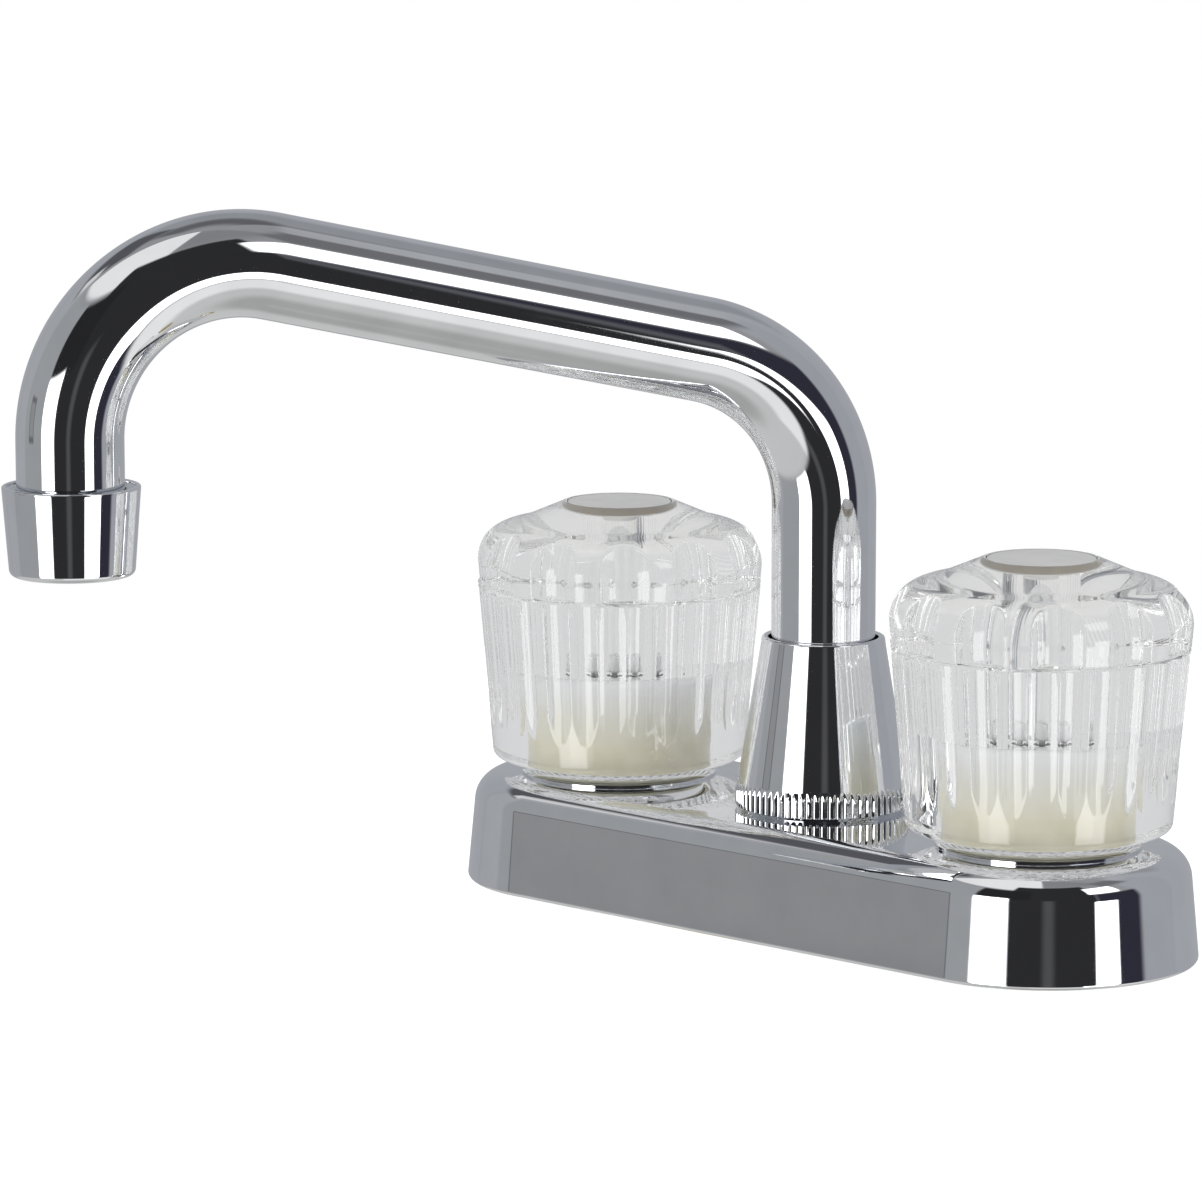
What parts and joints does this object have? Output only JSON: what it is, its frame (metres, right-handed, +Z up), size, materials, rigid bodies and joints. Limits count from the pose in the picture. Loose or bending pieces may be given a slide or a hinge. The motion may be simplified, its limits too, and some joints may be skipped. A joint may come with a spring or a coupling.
{
  "type": "utility sink faucet",
  "caption": "Deck-mounted utility sink faucet with clear fluted knobs, a chrome deck plate, a conical spout nut and a swinging bent-tube spout with an aerator.",
  "frame": {"origin": "middle of the base on the sink deck, on the underside of the deck gasket and on the spout's swivel axis", "axes": "+Z up, -Y towards the user, +X to the user's right (hot side at -X)"},
  "size_m": [0.1618, 0.1613, 0.1856],
  "materials": {
    "chrome": "polished chrome plating",
    "brass": "plain machined brass",
    "steel": "bright zinc",
    "rubber": "moulded black rubber",
    "clear_acrylic": "clear polished acrylic",
    "cream_plastic": "cream moulded plastic",
    "white_plastic": "white moulded plastic",
    "grey_plastic": "silver-grey index disc"
  },
  "bodies": {
    "base": {"deck_plate": "chrome", "deck_gasket": "white_plastic", "waterway": "brass", "mounting_washers": "steel", "mounting_nuts": "white_plastic", "spout_nut": "chrome", "slip_washer": "white_plastic", "hot_flange_ring": "chrome", "cold_flange_ring": "chrome", "hot_bonnet": "brass", "cold_bonnet": "brass", "hot_seat": "rubber", "cold_seat": "rubber", "hot_seat_spring": "steel", "cold_seat_spring": "steel"},
    "spout": {"spout_tube": "chrome", "spout_ferrule": "brass", "spout_o_rings": "rubber", "outlet_nipple": "brass", "aerator_housing": "chrome", "aerator_washer": "rubber", "aerator_screen": "steel", "aerator_insert": "white_plastic"},
    "hot_handle": {"hot_knob": "clear_acrylic", "hot_knob_hub": "cream_plastic", "hot_stem": "brass", "hot_stem_o_ring": "rubber", "hot_screw": "steel", "hot_index_button": "grey_plastic"},
    "cold_handle": {"cold_knob": "clear_acrylic", "cold_knob_hub": "cream_plastic", "cold_stem": "brass", "cold_stem_o_ring": "rubber", "cold_screw": "steel", "cold_index_button": "grey_plastic"}
  },
  "joints": [
    {"name": "spout_swivel", "type": "hinge", "parent": "base", "child": "spout", "pos_m": [0, 0, 0.036], "axis": [0, 0, 1], "continuous": true},
    {"name": "hot_turn", "type": "hinge", "parent": "base", "child": "hot_handle", "pos_m": [-0.0508, 0, 0.02], "axis": [0, 0, 1], "range_deg": [0, 90]},
    {"name": "cold_turn", "type": "hinge", "parent": "base", "child": "cold_handle", "pos_m": [0.0508, 0, 0.02], "axis": [0, 0, 1], "range_deg": [-90, 0]}
  ]
}
